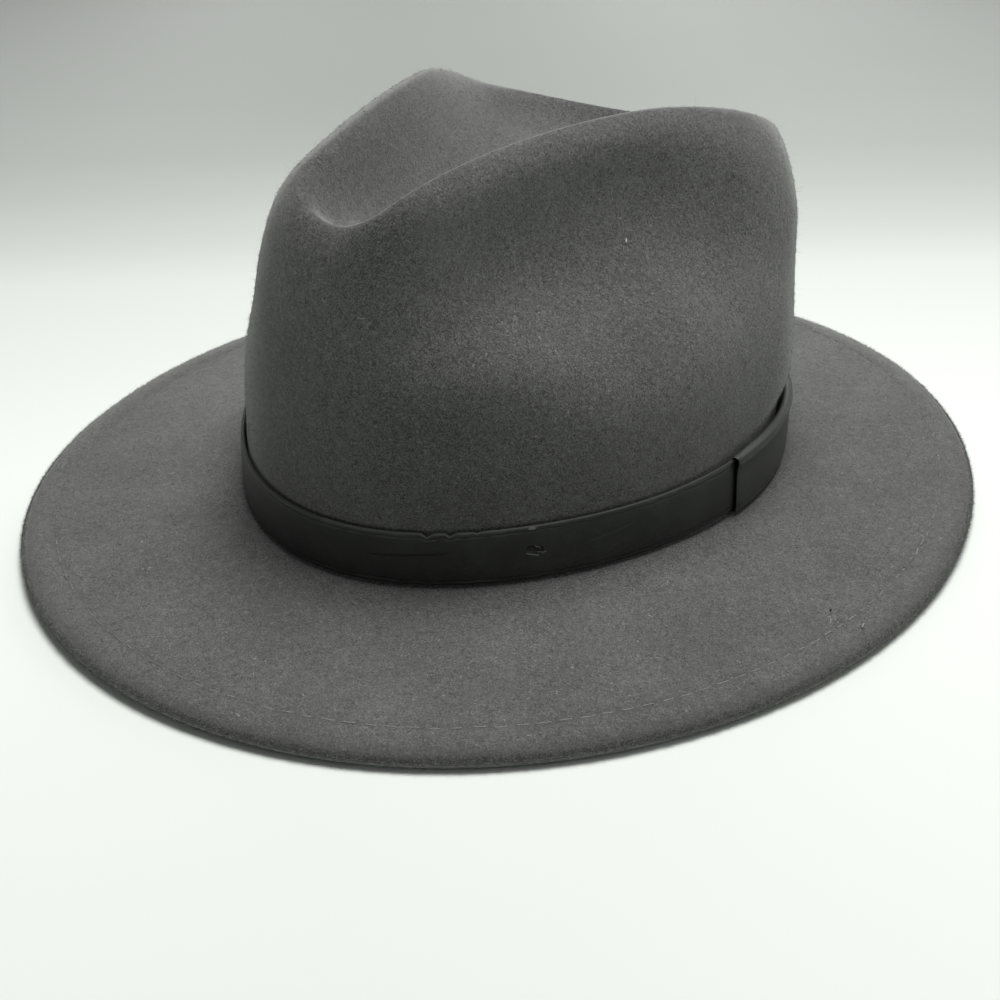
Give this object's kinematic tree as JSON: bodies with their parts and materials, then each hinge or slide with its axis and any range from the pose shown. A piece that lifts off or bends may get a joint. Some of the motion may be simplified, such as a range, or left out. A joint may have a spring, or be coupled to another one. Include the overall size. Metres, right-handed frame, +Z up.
{
  "type": "wide-brim felt hat",
  "caption": "Soft felt hat with a teardrop crown pinched at the front, a wide brim with a folded and stitched edge, and a leather band with a wrapped loop.",
  "frame": {"origin": "under the middle of the brim's box, on the table the hat rests on", "axes": "+Z up, front of the hat towards -Y, wearer's left towards +X"},
  "size_m": [0.308, 0.347, 0.1263],
  "materials": {
    "grey_felt": "dense wool felt with a short brushed nap, mid grey",
    "band_leather": "smooth black leather, satin, with nicks and faint scratches",
    "keeper_leather": "smooth black leather, satin"
  },
  "bodies": {
    "root": {"felt_body": "grey_felt", "hat_band": "band_leather", "band_keeper": "keeper_leather"}
  },
  "joints": []
}
